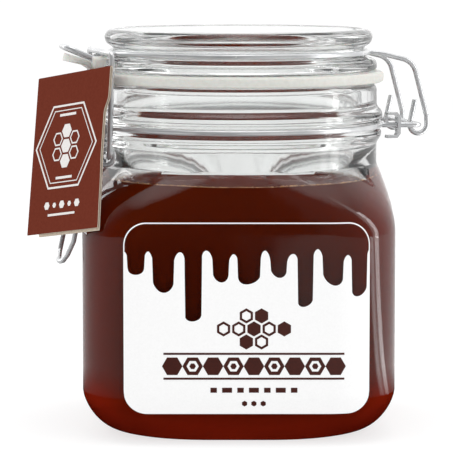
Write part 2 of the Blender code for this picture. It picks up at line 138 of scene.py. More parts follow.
# Distances in metres between which the floor's reflection rises from nothing to its full level
DARK_FLOOR = (0.09, 0.14)
# The room's level for all other light, and for light that reaches the honey and its like through glass
SKY = 0.97
THROUGH_GLASS = 2.4
# The floor's own colour and glow where it is not seen in a reflection
FLOOR_GREY = 0.32
FLOOR_GLOW = 0.72

# Camera: the photo's distance and height, with the frame's width at the jar's axis
CAMERA_DISTANCE = 1.035
CAMERA_HEIGHT = 0.176
AIM_SIDE = -4.3 * MM
AIM_HEIGHT = 70.1 * MM
FRAME_WIDTH = 163.1 * MM


# Materials

def new_material(name):
    made = bpy.data.materials.new(name)
    made.use_nodes = True
    return made, made.node_tree.nodes, made.node_tree.links, made.node_tree.nodes["Principled BSDF"]


def math_node(nodes, links, operation, *values):
    """The result of one operation on sockets and numbers."""
    made = nodes.new("ShaderNodeMath")
    made.operation = operation
    for socket, value in zip(made.inputs, values):
        if isinstance(value, float):
            socket.default_value = value
        else:
            links.new(value, socket)
    return made.outputs["Value"]


def noise_bump(nodes, links, shader, scale, strength, distance, detail=4.0):
    """Fine relief from object-space noise."""
    place = nodes.new("ShaderNodeTexCoord")
    grain = nodes.new("ShaderNodeTexNoise")
    grain.inputs["Scale"].default_value = scale
    grain.inputs["Detail"].default_value = detail
    links.new(place.outputs["Object"], grain.inputs["Vector"])
    bump = nodes.new("ShaderNodeBump")
    bump.inputs["Strength"].default_value = strength
    bump.inputs["Distance"].default_value = distance
    links.new(grain.outputs["Fac"], bump.inputs["Height"])
    links.new(bump.outputs["Normal"], shader.inputs["Normal"])
    return grain


def colour_ramp(nodes, links, source, stops, target):
    """Colours a target socket by a source value, from stops of position and colour."""
    ramp = nodes.new("ShaderNodeValToRGB")
    ramp.color_ramp.elements[0].position = stops[0][0]
    ramp.color_ramp.elements[0].color = (*stops[0][1], 1.0)
    ramp.color_ramp.elements[1].position = stops[-1][0]
    ramp.color_ramp.elements[1].color = (*stops[-1][1], 1.0)
    for position, colour in stops[1:-1]:
        ramp.color_ramp.elements.new(position).color = (*colour, 1.0)
    links.new(source, ramp.inputs["Fac"])
    links.new(ramp.outputs["Color"], target)


def roughness_range(nodes, links, source, low, high, shader):
    spread = nodes.new("ShaderNodeMapRange")
    spread.inputs["To Min"].default_value = low
    spread.inputs["To Max"].default_value = high
    links.new(source, spread.inputs["Value"])
    links.new(spread.outputs["Result"], shader.inputs["Roughness"])


def glass_material():
    """Clear pressed glass with a faint waviness."""
    made, nodes, links, shader = new_material("clear_glass")
    shader.inputs["Base Color"].default_value = (0.92, 0.93, 0.925, 1.0)
    shader.inputs["Roughness"].default_value = 0.06
    shader.inputs["IOR"].default_value = 1.5
    shader.inputs["Transmission Weight"].default_value = 1.0
    noise_bump(nodes, links, shader, 55.0, 0.12, 0.0006, 1.5)
    return made


def honey_material():
    """Dark red-brown honey with a painted glow: its colour lightens near the corners and the foot,
    standing in for light that shines through the thin honey there.
    """
    made, nodes, links, shader = new_material("dark_honey")
    place = nodes.new("ShaderNodeTexCoord")
    cloud = nodes.new("ShaderNodeTexNoise")
    cloud.inputs["Scale"].default_value = 18.0
    cloud.inputs["Detail"].default_value = 2.0
    links.new(place.outputs["Object"], cloud.inputs["Vector"])
    split = nodes.new("ShaderNodeSeparateXYZ")
    links.new(place.outputs["Object"], split.inputs["Vector"])
    # Painted glow: the base colour turns a lighter red towards the foot and towards the left and right
    # sides, where light through thin honey would show; the noise only adds random tone.
    height = nodes.new("ShaderNodeMapRange")
    height.inputs["From Min"].default_value = 2.0 * MM
    height.inputs["From Max"].default_value = 30.0 * MM
    height.interpolation_type = "SMOOTHSTEP"
    links.new(split.outputs["Z"], height.inputs["Value"])
    side = nodes.new("ShaderNodeMapRange")
    side.inputs["From Min"].default_value = 36.0 * MM
    side.inputs["From Max"].default_value = 50.0 * MM
    side.inputs["To Max"].default_value = -0.42
    side.interpolation_type = "SMOOTHSTEP"
    links.new(math_node(nodes, links, "ABSOLUTE", split.outputs["X"]), side.inputs["Value"])
    share = math_node(nodes, links, "MULTIPLY_ADD", cloud.outputs["Fac"], 0.25, -0.125)
    painted_glow_fade = math_node(nodes, links, "ADD", height.outputs["Result"], side.outputs["Result"])
    colour_ramp(nodes, links, math_node(nodes, links, "ADD", painted_glow_fade, share),
                ((0.0, (0.220, 0.0130, 0.0036)), (0.45, (0.120, 0.0090, 0.0018)),
                 (1.0, (0.068, 0.0062, 0.0002))), shader.inputs["Base Color"])
    shader.inputs["Roughness"].default_value = 0.12
    shader.inputs["IOR"].default_value = 1.49
    shader.inputs["Specular IOR Level"].default_value = 0.0
    return made


def foam_material():
    """Golden froth of fine bubbles where the honey meets the glass."""
    made, nodes, links, shader = new_material("golden_foam")
    place = nodes.new("ShaderNodeTexCoord")
    cells = nodes.new("ShaderNodeTexVoronoi")
    cells.inputs["Scale"].default_value = 900.0
    links.new(place.outputs["Object"], cells.inputs["Vector"])
    colour_ramp(nodes, links, cells.outputs["Distance"],
                ((0.05, (0.85, 0.56, 0.26)), (0.45, (0.55, 0.27, 0.08)), (0.9, (0.20, 0.06, 0.012))),
                shader.inputs["Base Color"])
    shader.inputs["Roughness"].default_value = 0.3
    return made


def steel_material():
    """Bright zinc-plated wire with fine drawing lines."""
    made, nodes, links, shader = new_material("zinc_wire")
    shader.inputs["Metallic"].default_value = 0.62
    grain = noise_bump(nodes, links, shader, 900.0, 0.12, 0.00005)
    roughness_range(nodes, links, grain.outputs["Fac"], 0.16, 0.32, shader)
    place = nodes.new("ShaderNodeTexCoord")
    cloud = nodes.new("ShaderNodeTexNoise")
    cloud.inputs["Scale"].default_value = 120.0
    links.new(place.outputs["Object"], cloud.inputs["Vector"])
    colour_ramp(nodes, links, cloud.outputs["Fac"],
                ((0.3, (0.62, 0.63, 0.645)), (0.7, (0.78, 0.785, 0.79))), shader.inputs["Base Color"])
    return made


def rubber_material():
    """Cream rubber with a satin surface."""
    made, nodes, links, shader = new_material("cream_rubber")
    grain = noise_bump(nodes, links, shader, 700.0, 0.2, 0.0001)
    colour_ramp(nodes, links, grain.outputs["Fac"],
                ((0.2, (0.60, 0.60, 0.56)), (0.8, (0.70, 0.70, 0.66))), shader.inputs["Base Color"])
    shader.inputs["Roughness"].default_value = 0.5
    shader.inputs["Subsurface Weight"].default_value = 0.15
    shader.inputs["Subsurface Scale"].default_value = 0.002
    return made


def print_material(name, light, dark, roughness):
    """Ink with a very fine mottle."""
    made, nodes, links, shader = new_material(name)
    grain = noise_bump(nodes, links, shader, 1500.0, 0.08, 0.00003)
    colour_ramp(nodes, links, grain.outputs["Fac"], ((0.25, dark), (0.75, light)),
                shader.inputs["Base Color"])
    shader.inputs["Roughness"].default_value = roughness
    return made


def card_material(name, low, high):
    """Uncoated card: printed colour over fibres."""
    made, nodes, links, shader = new_material(name)
    grain = noise_bump(nodes, links, shader, 1100.0, 0.35, 0.00008, 8.0)
    colour_ramp(nodes, links, grain.outputs["Fac"], ((0.3, low), (0.7, high)),
                shader.inputs["Base Color"])
    shader.inputs["Roughness"].default_value = 0.8
    shader.inputs["Specular IOR Level"].default_value = 0.1
    return made


# Mesh helpers

def link(thing, made, slot, *nodes):
    """Adds the piece to the scene with its material, riding on the jar, for the nodes it stands for."""
    bpy.context.scene.collection.objects.link(thing)
    thing.data.materials.append(made)
    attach(thing, "root")
    if nodes:
        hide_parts(*nodes)
    return thing


def mesh_object(name, verts, faces, smooth_below):
    mesh = bpy.data.meshes.new(name)
    mesh.from_pydata([tuple(v) for v in verts], [], faces)
    mesh.update()
    mesh.shade_smooth()
    mesh.set_sharp_from_angle(angle=math.radians(smooth_below))
    return bpy.data.objects.new(name, mesh)


def clasp(r, t, z):
    """A point on the clasp's side."""
    return Matrix.Rotation(AXIS_TURN, 3, "Z") @ Vector((-r, -t, z))


def hinge(r, t, z):
    """A point on the hinge's side."""
    return Matrix.Rotation(AXIS_TURN, 3, "Z") @ Vector((r, t, z))


def bent(corners, radius, steps=10):
    """The polyline through corners with each inner corner rounded."""
    points = [corners[0]]
    for before, here, after in zip(corners, corners[1:], corners[2:]):
        back = before - here
        ahead = after - here
        half = back.angle(ahead) / 2
        if half > math.radians(86):
            points.append(here)
            continue
        cut = min(radius / math.tan(half), 0.48 * back.length, 0.48 * ahead.length)
        start = here + back.normalized() * cut
        end = here + ahead.normalized() * cut
        for k in range(steps + 1):
            f = k / steps
            points.append(start * (1 - f) ** 2 + here * 2 * f * (1 - f) + end * f ** 2)
    points.append(corners[-1])
    return points


def add_tube(work, points, radius, closed=False, sides=16):
    """A round tube along the points, added to a bmesh, with domed ends where it is open."""
    count = len(points)
    tangents = []
    for i in range(count):
        before = points[i - 1] if closed or i else points[0]
        after = points[(i + 1) % count] if closed or i < count - 1 else points[-1]
        tangents.append((after - before).normalized())
    side = tangents[0].orthogonal().normalized()
    frames = []
    for tangent in tangents:
        side = (side - tangent * side.dot(tangent)).normalized()
        frames.append((side, tangent.cross(side)))
    spots = [(p, f, radius) for p, f in zip(points, frames)]
    if not closed:
        for f, shrink in ((0.28, 0.94), (0.42, 0.72)):
            spots.insert(0, (points[0] - tangents[0] * radius * f, frames[0], radius * shrink))
            spots.append((points[-1] + tangents[-1] * radius * f, frames[-1], radius * shrink))
    twist = 0.0
    if closed:
        a, b = frames[-1]
        end = (frames[0][0] - tangents[-1] * frames[0][0].dot(tangents[-1])).normalized()
        twist = math.atan2(end.dot(b), end.dot(a))
    rows = []
    for i, (spot, (u, v), r) in enumerate(spots):
        turn = twist * i / len(spots)
        rows.append([work.verts.new(spot + (u * math.cos(2 * math.pi * k / sides + turn)
                                            + v * math.sin(2 * math.pi * k / sides + turn)) * r)
                     for k in range(sides)])
    pairs = list(zip(rows, rows[1:])) + ([(rows[-1], rows[0])] if closed else [])
    for low, high in pairs:
        for k in range(sides):
            after = (k + 1) % sides
            work.faces.new((low[k], low[after], high[after], high[k]))
    if not closed:
        work.faces.new(list(reversed(rows[0])))
        work.faces.new(rows[-1])


def tubes(name, made, slot, node, routes):
    """One piece of several tubes; each route is points, radius and whether it closes."""
    work = bmesh.new()
    for points, radius, closed in routes:
        add_tube(work, points, radius, closed)
    bmesh.ops.recalc_face_normals(work, faces=work.faces)
    mesh = bpy.data.meshes.new(name)
    work.to_mesh(mesh)
    work.free()
    mesh.shade_smooth()
    mesh.set_sharp_from_angle(angle=math.radians(60))
    return link(bpy.data.objects.new(name, mesh), made, slot, node)


def circle(radius, z, count=120):
    turns = [2 * math.pi * k / count for k in range(count)]
    return [Vector((radius * math.cos(turn), radius * math.sin(turn), z)) for turn in turns]


def steps_between(low, high, count):
    return [low + (high - low) * k / count for k in range(count + 1)]


# Glass

def reach(half, corner, angle):
    """Distance from the axis to the edge of a rounded square along an angle."""
    c = abs(math.cos(angle))
    s = abs(math.sin(angle))
    core = half - corner
    straight = half / max(c, s)
    if straight * min(c, s) <= core:
        return straight
    along = core * (c + s)
    return along + math.sqrt(max(0.0, along ** 2 - 2 * core ** 2 + corner ** 2))


def section_angles(per_corner=20, per_flat=12):
    """Bearings of a section's points, close together round its corners."""
    core = BODY_HALF - BODY_CORNER
    flat_end = math.atan2(core, BODY_HALF)
    angles = []
    for quarter in range(4):
        turn = quarter * math.pi / 2
        for k in range(per_corner + 1):
            bend = k / per_corner * math.pi / 2
            angles.append(turn + math.atan2(core + BODY_CORNER * math.sin(bend),
                                            core + BODY_CORNER * math.cos(bend)))
        for k in range(1, per_flat):
            angles.append(turn + math.pi / 2 - flat_end * (1 - 2 * k / per_flat))
    return angles


ANGLES = section_angles()


def outer_section(z):
    """Half width and corner radius of the outside of the glass."""
    if z < HEEL_TOP:
        lift = (HEEL_TOP - z) / HEEL_TOP
        inset = FOOT_INSET * (1 - max(0.0, 1 - lift ** HEEL_POWER) ** (1 / HEEL_POWER))
        return BODY_HALF - inset, BODY_CORNER + inset
    if z > SHOULDER_LOW:
        rise = min(1.0, (SHOULDER_TOP - z) / (SHOULDER_TOP - SHOULDER_LOW))
        ease = math.sin(max(0.0, rise) * math.pi / 2)
        return NECK_R + (BODY_HALF - NECK_R) * ease, NECK_R + (BODY_CORNER - NECK_R) * ease
    return BODY_HALF, BODY_CORNER


def inner_section(z):
    """Half width and corner radius of the inside of the glass."""
    half, corner = outer_section(max(z, HEEL_TOP))
    wall = WALL + 1.6 * MM * max(0.0, (z - SHOULDER_LOW) / (SHOULDER_TOP - SHOULDER_LOW))
    low = max(0.0, 1 - (z - BASE_THICK) / FLOOR_ROUND)
    inset = FLOOR_ROUND * (1 - math.sqrt(max(0.0, 1 - low ** 2)))
    return half - wall - inset, max(corner - wall, 8.0 * MM) + 0.3 * inset


def ring(half, corner, z):
    """The points of a rounded square section at a height."""
    return [Vector((reach(half, corner, a) * math.cos(a), reach(half, corner, a) * math.sin(a), z))
            for a in ANGLES]


def loft(name, rings):
    """A closed skin over a stack of sections, capped at both ends."""
    count = len(rings[0])
    verts = [v for row in rings for v in row]
    faces = []
    for i in range(len(rings) - 1):
        low = i * count
        for k in range(count):
            after = (k + 1) % count
            faces.append((low + k, low + after, low + count + after, low + count + k))
    for row, flip in ((0, True), (len(rings) - 1, False)):
        centre = len(verts)
        verts.append(Vector((0.0, 0.0, rings[row][0].z)))
        for k in range(count):
            a, b = row * count + k, row * count + (k + 1) % count
            faces.append((b, a, centre) if flip else (a, b, centre))
    return mesh_object(name, verts, faces, 50)


def softened(profile, steps=4):
    """A turned profile with each corner between its first and last point rounded a little."""
    points = [Vector((r, z)) for r, z in profile]
    out = [points[0]]
    for before, here, after in zip(points, points[1:], points[2:]):
        cut = min(0.45 * (before - here).length, 0.45 * (after - here).length, 1.2)
        start = here + (before - here).normalized() * cut
        end = here + (after - here).normalized() * cut
        for k in range(steps + 1):
            f = k / steps
            out.append(start * (1 - f) ** 2 + here * 2 * f * (1 - f) + end * f ** 2)
    out.append(points[-1])
    return [(p.x, p.y) for p in out]


def build_jar(glass):
    """Foot, wall, shoulder and beaded neck, then down the inside."""
    rings = []
    for k in range(15):
        z = HEEL_TOP * (1 - math.cos(k / 14 * math.pi / 2))
        rings.append(ring(*outer_section(z), z))
    rings += [ring(*outer_section(z), z) for z in steps_between(SHOULDER_LOW, SHOULDER_TOP, 26)]
    neck = softened(((NECK_R / MM, 93.8), (NECK_R / MM, 101.0), (BEAD_R / MM - 0.4, 103.4),
                     (BEAD_R / MM - 0.4, 105.1), (GROOVE_R / MM, 105.9), (GROOVE_R / MM, 108.5),
                     (BEAD_R / MM, 109.3), (BEAD_R / MM, 111.9), (NECK_R / MM, 114.0),
                     (NECK_R / MM, 120.4), (NECK_R / MM - 1.0, 122.0), (MOUTH_R / MM + 1.0, 122.0),
                     (MOUTH_R / MM, 120.6), (MOUTH_R / MM, 104.0)))
    rings += [ring(r * MM, r * MM, z * MM) for r, z in neck]
    inside = [BASE_THICK + FLOOR_ROUND * (1 - math.cos(k / 12 * math.pi / 2)) for k in range(13)]
    inside += steps_between(SHOULDER_LOW, SHOULDER_TOP, 22)
    rings += [ring(*inner_section(z), z) for z in reversed(inside)]
    return link(loft("jar_body", rings), glass, "clear_glass", "jar_glass")


def build_honey(honey, foam):
    """Honey that reaches into the wall, with a low meniscus, and the froth along its edge."""
    levels = [BASE_THICK + FLOOR_ROUND * (1 - math.cos(k / 12 * math.pi / 2)) for k in range(13)]
    levels += [z for z in steps_between(SHOULDER_LOW, SHOULDER_TOP, 22) if z < HONEY_LEVEL]
    rings = []
    for z in levels:
        half, corner = inner_section(z)
        low = INTO_WALL if z < BASE_THICK + FLOOR_ROUND * 0.9 else 0.0
        rings.append(ring(half + INTO_WALL, corner + INTO_WALL, z - low))
    half, corner = inner_section(HONEY_LEVEL)
    for inset, rise in ((-INTO_WALL, 0.5 * MM), (0.5 * MM, 0.12 * MM), (1.2 * MM, 0.0), (6.0 * MM, 0.0)):
        rings.append(ring(half - inset, corner - inset, HONEY_LEVEL - 0.4 * MM + rise))
    link(loft("honey_fill", rings), honey, "dark_honey", "honey")
    draw = random.Random(7)
    work = bmesh.new()
    for k in range(FROTH_COUNT):
        angle = 2 * math.pi * (k + draw.random()) / FROTH_COUNT
        size = (0.13 + 0.26 * draw.random() ** 2) * MM
        out = reach(half, corner, angle) - size * 0.9 - 0.7 * MM * draw.random() ** 2
        spot = Matrix.Translation((out * math.cos(angle), out * math.sin(angle),
                                   HONEY_LEVEL + (0.35 * draw.random() - 0.1) * MM))
        bmesh.ops.create_icosphere(work, subdivisions=1, radius=size, matrix=spot)
    mesh = bpy.data.meshes.new("edge_froth")
    work.to_mesh(mesh)
    work.free()
    mesh.shade_smooth()
    link(bpy.data.objects.new("edge_froth", mesh), foam, "dark_honey")


def turned(name, profile, steps=160):
    """A turned body whose profile, in mm, starts and ends on the axis."""
    verts = [Vector((0.0, 0.0, profile[0][1] * MM)), Vector((0.0, 0.0, profile[-1][1] * MM))]
    rows = []
    for r, z in profile[1:-1]:
        rows.append(range(len(verts), len(verts) + steps))
        for k in range(steps):
            turn = 2 * math.pi * k / steps
            verts.append(Vector((r * MM * math.cos(turn), r * MM * math.sin(turn), z * MM)))
    faces = []
    for k in range(steps):
        after = (k + 1) % steps
        faces.append((0, rows[0][k], rows[0][after]))
        faces.append((1, rows[-1][after], rows[-1][k]))
        for high, low in zip(rows, rows[1:]):
            faces.append((high[k], low[k], low[after], high[after]))
    return mesh_object(name, verts, faces, 50)


def build_lid(glass):
    """A shallow dish with a round rim and a plug that reaches into the neck."""
    profile = [(0.0, 137.0), (36.5, 137.0), (40.4, 137.8), (42.4, 139.8), (44.6, 141.3)]
    for k in range(1, 9):
        turn = k / 8 * math.pi / 2
        profile.append((44.8 + 3.1 * math.sin(turn), 138.3 + 3.0 * math.cos(turn)))
    profile += [(47.5, 136.6), (46.2, 135.6), (45.0, 134.9), (45.0, 131.9), (46.0, 131.2), (48.4, 130.6),
                (49.5, 129.4), (49.5, 127.4), (48.8, 126.6), (43.0, 126.6), (41.4, 125.6), (41.4, 120.6),
                (40.2, 119.4), (37.8, 119.4), (36.6, 120.8), (35.8, 127.4), (33.0, 130.4), (27.0, 131.6),
                (0.0, 131.6)]
    return link(turned("lid_dish", softened(profile, 3)), glass, "clear_glass", "lid_glass")


def strip(work, spine, side_low, side_high, end_round):
    """A flat strip with a rounded free end along (r, z, half thickness) in mm on the clasp side."""
    spots = bent([Vector((r, half_thick, z)) for r, z, half_thick in spine], 1.2, 5)
    lengths = [0.0]
    for a, b in zip(spots, spots[1:]):
        lengths.append(lengths[-1] + (b - a).length)
    fine = []
    count = 26
    for k in range(count + 1):
        want = lengths[-1] * k / count
        i = next(j for j in range(1, len(lengths)) if lengths[j] >= want - 1e-9)
        f = (want - lengths[i - 1]) / (lengths[i] - lengths[i - 1])
        fine.append((spots[i - 1].lerp(spots[i], f), lengths[-1] - want))
    middle = (side_low + side_high) / 2
    wide = (side_high - side_low) / 2
    rows = []
    for i, (here, left) in enumerate(fine):
        run = fine[min(i + 1, count)][0] - fine[max(i - 1, 0)][0]
        run.y = 0.0
        run.normalize()
        up = Vector((-run.z, 0.0, run.x))
        near = max(0.0, 1 - left / end_round)
        half = wide * math.sqrt(max(0.0009, 1 - near ** 2)) if near else wide
        row = []
        for k in range(16):
            turn = 2 * math.pi * k / 16
            square = 0.35
            c, s = math.cos(turn), math.sin(turn)
            spot = here + up * here.y * math.copysign(abs(s) ** square, s)
            t = middle + half * math.copysign(abs(c) ** square, c)
            row.append(work.verts.new(clasp(spot.x * MM, t * MM, spot.z * MM)))
        rows.append(row)
    for low, high in zip(rows, rows[1:]):
        for k in range(16):
            after = (k + 1) % 16
            work.faces.new((low[k], low[after], high[after], high[k]))
    work.faces.new(rows[0])
    work.faces.new(rows[-1])


def build_gasket(rubber):
    """A squarish ring with its pull tongue and a small ear."""
    low = LIP_Z + GAP
    high = LID_SEAT - GAP
    work = bmesh.new()
    profile = []
    centre = ((GASKET_IN + GASKET_R) / 2, (low + high) / 2)
    half = ((GASKET_R - GASKET_IN) / 2, (high - low) / 2)
    sides = 28
    around = 160
    for k in range(sides):
        turn = 2 * math.pi * k / sides
        c, s = math.cos(turn), math.sin(turn)
        profile.append((centre[0] + half[0] * math.copysign(abs(c) ** 0.45, c),
                        centre[1] + half[1] * math.copysign(abs(s) ** 0.45, s)))
    rows = []
    for k in range(around):
        turn = 2 * math.pi * k / around
        rows.append([work.verts.new((r * math.cos(turn), r * math.sin(turn), z)) for r, z in profile])
    for k in range(around):
        a, b = rows[k], rows[(k + 1) % around]
        for j in range(sides):
            after = (j + 1) % sides
            work.faces.new((a[j], b[j], b[after], a[after]))
    tongue = ((49.4, 124.4, 1.1), (52.0, 127.0, 1.1), (56.2, 129.9, 1.2), (63.6, 131.9, 1.4))
    strip(work, tongue, -5.5, 5.5, 3.0)
    ear = ((49.4, 124.6, 0.7), (51.4, 127.0, 0.9), (52.8, 129.0, 2.2), (52.9, 132.3, 2.4))
    strip(work, ear, 8.7, 13.4, 1.2)
    bmesh.ops.recalc_face_normals(work, faces=work.faces)
    mesh = bpy.data.meshes.new("seal_ring")
    work.to_mesh(mesh)
    work.free()
    mesh.shade_smooth()
    return link(bpy.data.objects.new("seal_ring", mesh), rubber, "cream_rubber", "gasket")


# Wires

def build_lid_wire(steel):
    """The lid's ring, its two arms curled round the hinge's axle, and its front hook."""
    routes = [(circle(LID_RING_R, LID_RING_Z), WIRE_R, True)]
    for side in (-1, 1):
        t = side * HINGE_HALF
        start = math.sqrt(LID_RING_R ** 2 - t ** 2)
        arm = bent([hinge(start, t, LID_RING_Z), hinge(49.5 * MM, t, 132.3 * MM),
                    hinge(60.6 * MM, t, 129.6 * MM), hinge(HINGE_R + 3.1 * MM, t, HINGE_Z + 3.0 * MM)],
                   7.0 * MM)
        for k in range(21):
            turn = math.radians(5 - 190 * k / 20)
            arm.append(hinge(HINGE_R + 3.2 * MM * math.cos(turn), t, HINGE_Z + 3.2 * MM * math.sin(turn)))
        arm.append(hinge(HINGE_R - 1.4 * MM, t, HINGE_Z + 8.6 * MM))
        routes.append((arm, ARM_WIRE_R, False))
    half = HOOK_HALF
    start = math.sqrt(LID_RING_R ** 2 - half ** 2)
    side_view = ((start, LID_RING_Z), (48.6 * MM, 132.6 * MM), (51.0 * MM, 131.2 * MM),
                 (53.6 * MM, 131.2 * MM), HOOK_TIP)
    there = [clasp(r, half, z) for r, z in side_view]
    back = [clasp(r, -half, z) for r, z in reversed(side_view)]
    routes.append((bent(there + back, 4.0 * MM), ARM_WIRE_R, False))
    tubes("lid_ring_wire", steel, "zinc_wire", "lid_wire", routes)


def build_neck_band(steel):
    """The neck's ring with the hinge's axle loop and the lever's two eyes."""
    routes = [(circle(BAND_R, BAND_Z), WIRE_R, True)]
    half = HINGE_HALF + 3.0 * MM
    inner = math.sqrt(BAND_R ** 2 - half ** 2)
    routes.append((bent([hinge(inner, -half, BAND_Z), hinge(HINGE_R, -half, HINGE_Z),
                         hinge(HINGE_R, half, HINGE_Z), hinge(inner, half, BAND_Z)], 3.0 * MM),
                   ARM_WIRE_R, False))
    for side in (-1, 1):
        eye = []
        for k in range(40):
            turn = 2 * math.pi * k / 40
            eye.append(clasp(PIVOT_R + 2.3 * MM * math.cos(turn), side * PIVOT_EYE_T,
                             PIVOT_Z + 2.3 * MM * math.sin(turn)))
        routes.append((eye, THIN_WIRE_R, True))
    tubes("neck_ring_wire", steel, "zinc_wire", "neck_band", routes)


def build_bail(steel):
    """Two legs from the lever's coils up to a bar over the lid's hook."""
    corners = []
    for side in (-1, 1):
        leg = [clasp(BAIL_FOOT_R, side * 13.9 * MM, COIL_Z), clasp(BAIL_FOOT_R, side * BAIL_HALF, COIL_Z),
               clasp(BAIL_LEG_R, side * BAIL_HALF, BAIL_TOP_Z),
               clasp(BAIL_TOP_R, side * 13.0 * MM, BAIL_TOP_Z)]
        corners += leg if side < 0 else list(reversed(leg))
    tubes("bail_wire", steel, "zinc_wire", "bail", [(bent(corners, 2.6 * MM), WIRE_R, False)])


def build_lever(steel):
    """From each eye down round a coil and out to the thumb loop's tip."""
    half = [(PIVOT_R, 10.4 * MM, PIVOT_Z), (PIVOT_R, 13.6 * MM, PIVOT_Z),
            (PIVOT_R + 0.3 * MM, LEVER_T - 0.4 * MM, PIVOT_Z - 0.7 * MM),
            (PIVOT_R + 0.7 * MM, LEVER_T, PIVOT_Z - 2.4 * MM)]
    turns = 48
    for k in range(turns + 1):
        turn = math.radians(20 - 400 * k / turns)
        half.append((COIL_R + COIL_TURN_R * math.cos(turn), LEVER_T + COIL_ADVANCE * k / turns,
                     COIL_Z + COIL_TURN_R * math.sin(turn)))
    outer = LEVER_T + COIL_ADVANCE
    half += [(57.4 * MM, outer - 0.6 * MM, 88.0 * MM), (61.0 * MM, outer - 3.4 * MM, 77.0 * MM),
             (62.2 * MM, 10.4 * MM, 67.4 * MM), (63.9 * MM, 7.6 * MM, 62.4 * MM),
             (64.9 * MM, 4.4 * MM, 60.0 * MM), (LEVER_TIP_R, 1.2 * MM, LEVER_TIP_Z)]
    near = [clasp(r, t, z) for r, t, z in half]
    far = [clasp(r, -t, z) for r, t, z in reversed(half)]
    route = bent(near + far, 2.0 * MM, 4)
    tubes("lever_wire", steel, "zinc_wire", "lever", [(route, THIN_WIRE_R, False)])


# Label

def on_label(across, z, lift):
    """The point at a distance round the front from the label's middle."""
    along = across + LABEL_SHIFT
    half, corner = outer_section(z)
    half, corner = half + lift, corner + lift
    core = half - corner
    side = -1.0 if along < 0 else 1.0
    if abs(along) <= core:
        return Vector((along, -half, z))
    bend = (abs(along) - core) / corner
    return Vector((side * (core + corner * math.sin(bend)), -core - corner * math.cos(bend), z))


# The white print's top edge, in mm: its height, the width and height of the round shoulder beside a
# drip, and the middle, half width and depth of each drip that runs into it
EDGE_HIGH = 67.0
EDGE_ROUND = (1.9, 3.6)
DRIPS = ((-38.2, 2.9, 9.0), (-28.8, 3.6, 13.0), (-18.6, 2.9, 25.0), (-9.2, 2.7, 9.5), (0.6, 3.9, 12.0),
         (10.6, 2.8, 8.0), (19.8, 2.6, 19.5), (29.2, 3.5, 11.0), (38.6, 2.8, 15.5))


def drip_edge(across):
    """Height in mm of the white print's top edge at a distance in mm from the label's middle."""
    wide, tall = EDGE_ROUND
    deepest = 0.0
    for middle, half, depth in DRIPS:
        off = abs(across - middle)
        if off <= half:
            deepest = max(deepest, depth - half + math.sqrt(half * half - off * off))
        elif off < half + wide:
            share = (half + wide - off) / wide
            deepest = max(deepest, tall * (1 - math.sqrt(1 - share * share)))
    return EDGE_HIGH + 1.1 * math.sin(0.31 * across + 0.8) - deepest


def label_bottom(along):
    """Height of the label's lower edge, with its round corners."""
    near = LABEL_HALF - abs(along)
    if near >= LABEL_CORNER:
        return LABEL_LOW
    return LABEL_LOW + LABEL_CORNER - math.sqrt(max(0.0, LABEL_CORNER ** 2 - (LABEL_CORNER - near) ** 2))


def label_top(along):
    return LABEL_TOP + LABEL_LOW - label_bottom(along)


def film_grid(name, made, columns, rows, point, nodes=()):
    """A thin closed skin from a grid of points with one lift below and one above."""
    verts = [point(i, j, lift) for lift in (0, 1) for j in range(rows + 1) for i in range(columns + 1)]
    wide = columns + 1
    layer = wide * (rows + 1)
    faces = []
    for j in range(rows):
        for i in range(columns):
            a = j * wide + i
            faces.append((a + wide, a + wide + 1, a + 1, a))
            faces.append((layer + a, layer + a + 1, layer + a + wide + 1, layer + a + wide))
    edge = list(range(wide)) + [j * wide + columns for j in range(1, rows + 1)]
    edge += [rows * wide + i for i in range(columns - 1, -1, -1)]
    edge += [j * wide for j in range(rows - 1, 0, -1)]
    for a, b in zip(edge, edge[1:] + edge[:1]):
        faces.append((a, b, b + layer, a + layer))
    return link(mesh_object(name, verts, faces, 40), made, "label_film", *nodes)


def build_label(white, ink):
    """The white field with its drips, the white outline over it, and the brown print."""
    columns = 340
    rows = 26

    def white_point(i, j, lift):
        along = LABEL_HALF * (2 * i / columns - 1)
        low = label_bottom(along)
        high = max(low, min(drip_edge(along / MM) * MM, label_top(along)))
        return on_label(along, low + (high - low) * j / rows, PRINT_LIFT + 0.1 * MM * lift)

    film_grid("label_white", white, columns, rows, white_point, ("label",))

    path = []
    for k in range(40):
        rise = (LABEL_TOP - LABEL_CORNER - LINE_LOW) * k / 40
        path.append((-LABEL_HALF, LINE_LOW + rise, 1.0, 0.0))
    for k in range(21):
        turn = k / 20 * math.pi / 2
        path.append((-LABEL_HALF + LABEL_CORNER * (1 - math.cos(turn)),
                     LABEL_TOP - LABEL_CORNER * (1 - math.sin(turn)), math.cos(turn), -math.sin(turn)))
    for k in range(1, 60):
        path.append((-(LABEL_HALF - LABEL_CORNER) * (1 - k / 60), LABEL_TOP, 0.0, -1.0))
    path += [(-along, z, -in_x, in_z) for along, z, in_x, in_z in reversed(path)]

    def line_point(i, j, lift):
        along, z, in_x, in_z = path[i]
        lift = PRINT_LIFT + 0.1 * MM * lift
        return on_label(along + in_x * LINE_WIDE * j, z + in_z * LINE_WIDE * j, lift)

    def print_point(x, y, up):
        return on_label(x * MM, y * MM, PRINT_LIFT + (0.12 + 0.05 * up) * MM)

    film_grid("label_outline", white, len(path) - 1, 1, line_point)
    flat_prints("label_print", ink, emblem_shapes() + band_shapes(), print_point)


def hexagon(x, y, radius, turn=30.0):
    bends = [math.radians(turn + 60 * k) for k in range(6)]
    return [(x + radius * math.cos(bend), y + radius * math.sin(bend)) for bend in bends]


def frame_of(outer, inner):
    """Quads between two outlines of equal count."""
    count = len(outer)
    return [[outer[k], outer[(k + 1) % count], inner[(k + 1) % count], inner[k]] for k in range(count)]


